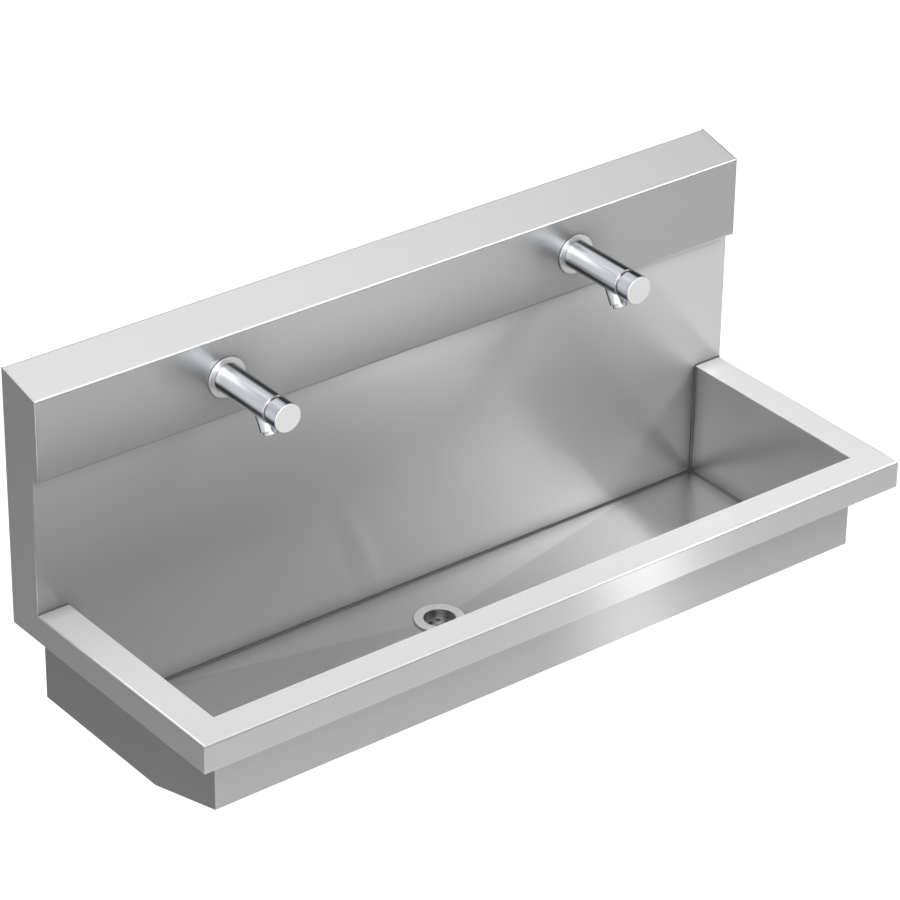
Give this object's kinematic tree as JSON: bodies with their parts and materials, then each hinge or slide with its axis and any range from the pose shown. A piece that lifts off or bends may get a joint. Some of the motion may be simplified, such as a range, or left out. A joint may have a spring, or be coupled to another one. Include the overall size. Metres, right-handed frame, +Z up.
{
  "type": "trough sink",
  "caption": "Wall-hung stainless steel trough sink with a raised back, a sloping top ledge, push taps on a removable service panel, a folded floor and a strainer waste.",
  "frame": {"origin": "on the wall plane, at the centre of the four wall fixing holes, 60 mm above the rim", "axes": "+X along the trough to its right end as seen from the front, +Y into the wall, +Z up"},
  "size_m": [1.2, 0.448, 0.6022],
  "materials": {
    "rim_steel": "brushed stainless sheet",
    "basin_steel": "brushed stainless sheet",
    "panel_steel": "brushed stainless sheet",
    "frame_steel": "mill finish stainless",
    "fastener_steel": "plain stainless",
    "copper_pipe": "drawn copper",
    "brass": "turned brass",
    "fibre": "pressed fibre",
    "chrome": "polished chrome",
    "satin_steel": "satin",
    "blue_ring": "gloss",
    "black_rubber": "matt",
    "spring_steel": "bright drawn",
    "grey_plastic": "matt",
    "waste_steel": "satin"
  },
  "bodies": {
    "trough": {"rim_frame": "rim_steel", "basin_front": "basin_steel", "basin_floor": "basin_steel", "basin_end_left": "basin_steel", "basin_end_right": "basin_steel", "back_panel": "panel_steel", "side_panel_left": "panel_steel", "side_panel_right": "panel_steel", "service_panel": "panel_steel", "panel_ledge": "frame_steel", "hook_rail": "frame_steel", "panel_screws": "fastener_steel", "wall_bracket_left": "frame_steel", "wall_bracket_right": "frame_steel", "supply_pipe": "copper_pipe", "pipe_caps": "copper_pipe", "union_nuts": "brass", "union_washers": "fibre", "lock_nuts": "brass", "lock_washers": "fastener_steel", "tap_body_left": "chrome", "tap_body_right": "chrome", "tap_rosette_left": "satin_steel", "tap_rosette_right": "satin_steel", "tap_gasket_left": "black_rubber", "tap_gasket_right": "black_rubber", "tap_cartridge_left": "brass", "tap_cartridge_right": "brass", "tap_neck_seal_left": "black_rubber", "tap_neck_seal_right": "black_rubber", "return_spring_left": "spring_steel", "return_spring_right": "spring_steel", "outlet_collar_left": "chrome", "outlet_collar_right": "chrome", "outlet_insert_left": "grey_plastic", "outlet_insert_right": "grey_plastic", "waste_flange": "waste_steel", "waste_strainer": "waste_steel", "strainer_screw": "fastener_steel", "waste_top_gasket": "black_rubber", "waste_lower_gasket": "black_rubber", "waste_nut": "brass", "waste_tail": "waste_steel"},
    "push_button_left": {"push_head_left": "chrome", "button_ring_left": "blue_ring", "button_face_left": "satin_steel", "push_stem_left": "spring_steel"},
    "push_button_right": {"push_head_right": "chrome", "button_ring_right": "blue_ring", "button_face_right": "satin_steel", "push_stem_right": "spring_steel"}
  },
  "joints": [
    {"name": "push_left", "type": "slide", "parent": "trough", "child": "push_button_left", "axis": [0, 1, 0], "range_m": [0, 0.004], "stiffness_N_per_m": 1500, "springref_m": -0.004, "deforming": ["return_spring_left"]},
    {"name": "push_right", "type": "slide", "parent": "trough", "child": "push_button_right", "axis": [0, 1, 0], "range_m": [0, 0.004], "stiffness_N_per_m": 1500, "springref_m": -0.004, "deforming": ["return_spring_right"]}
  ]
}
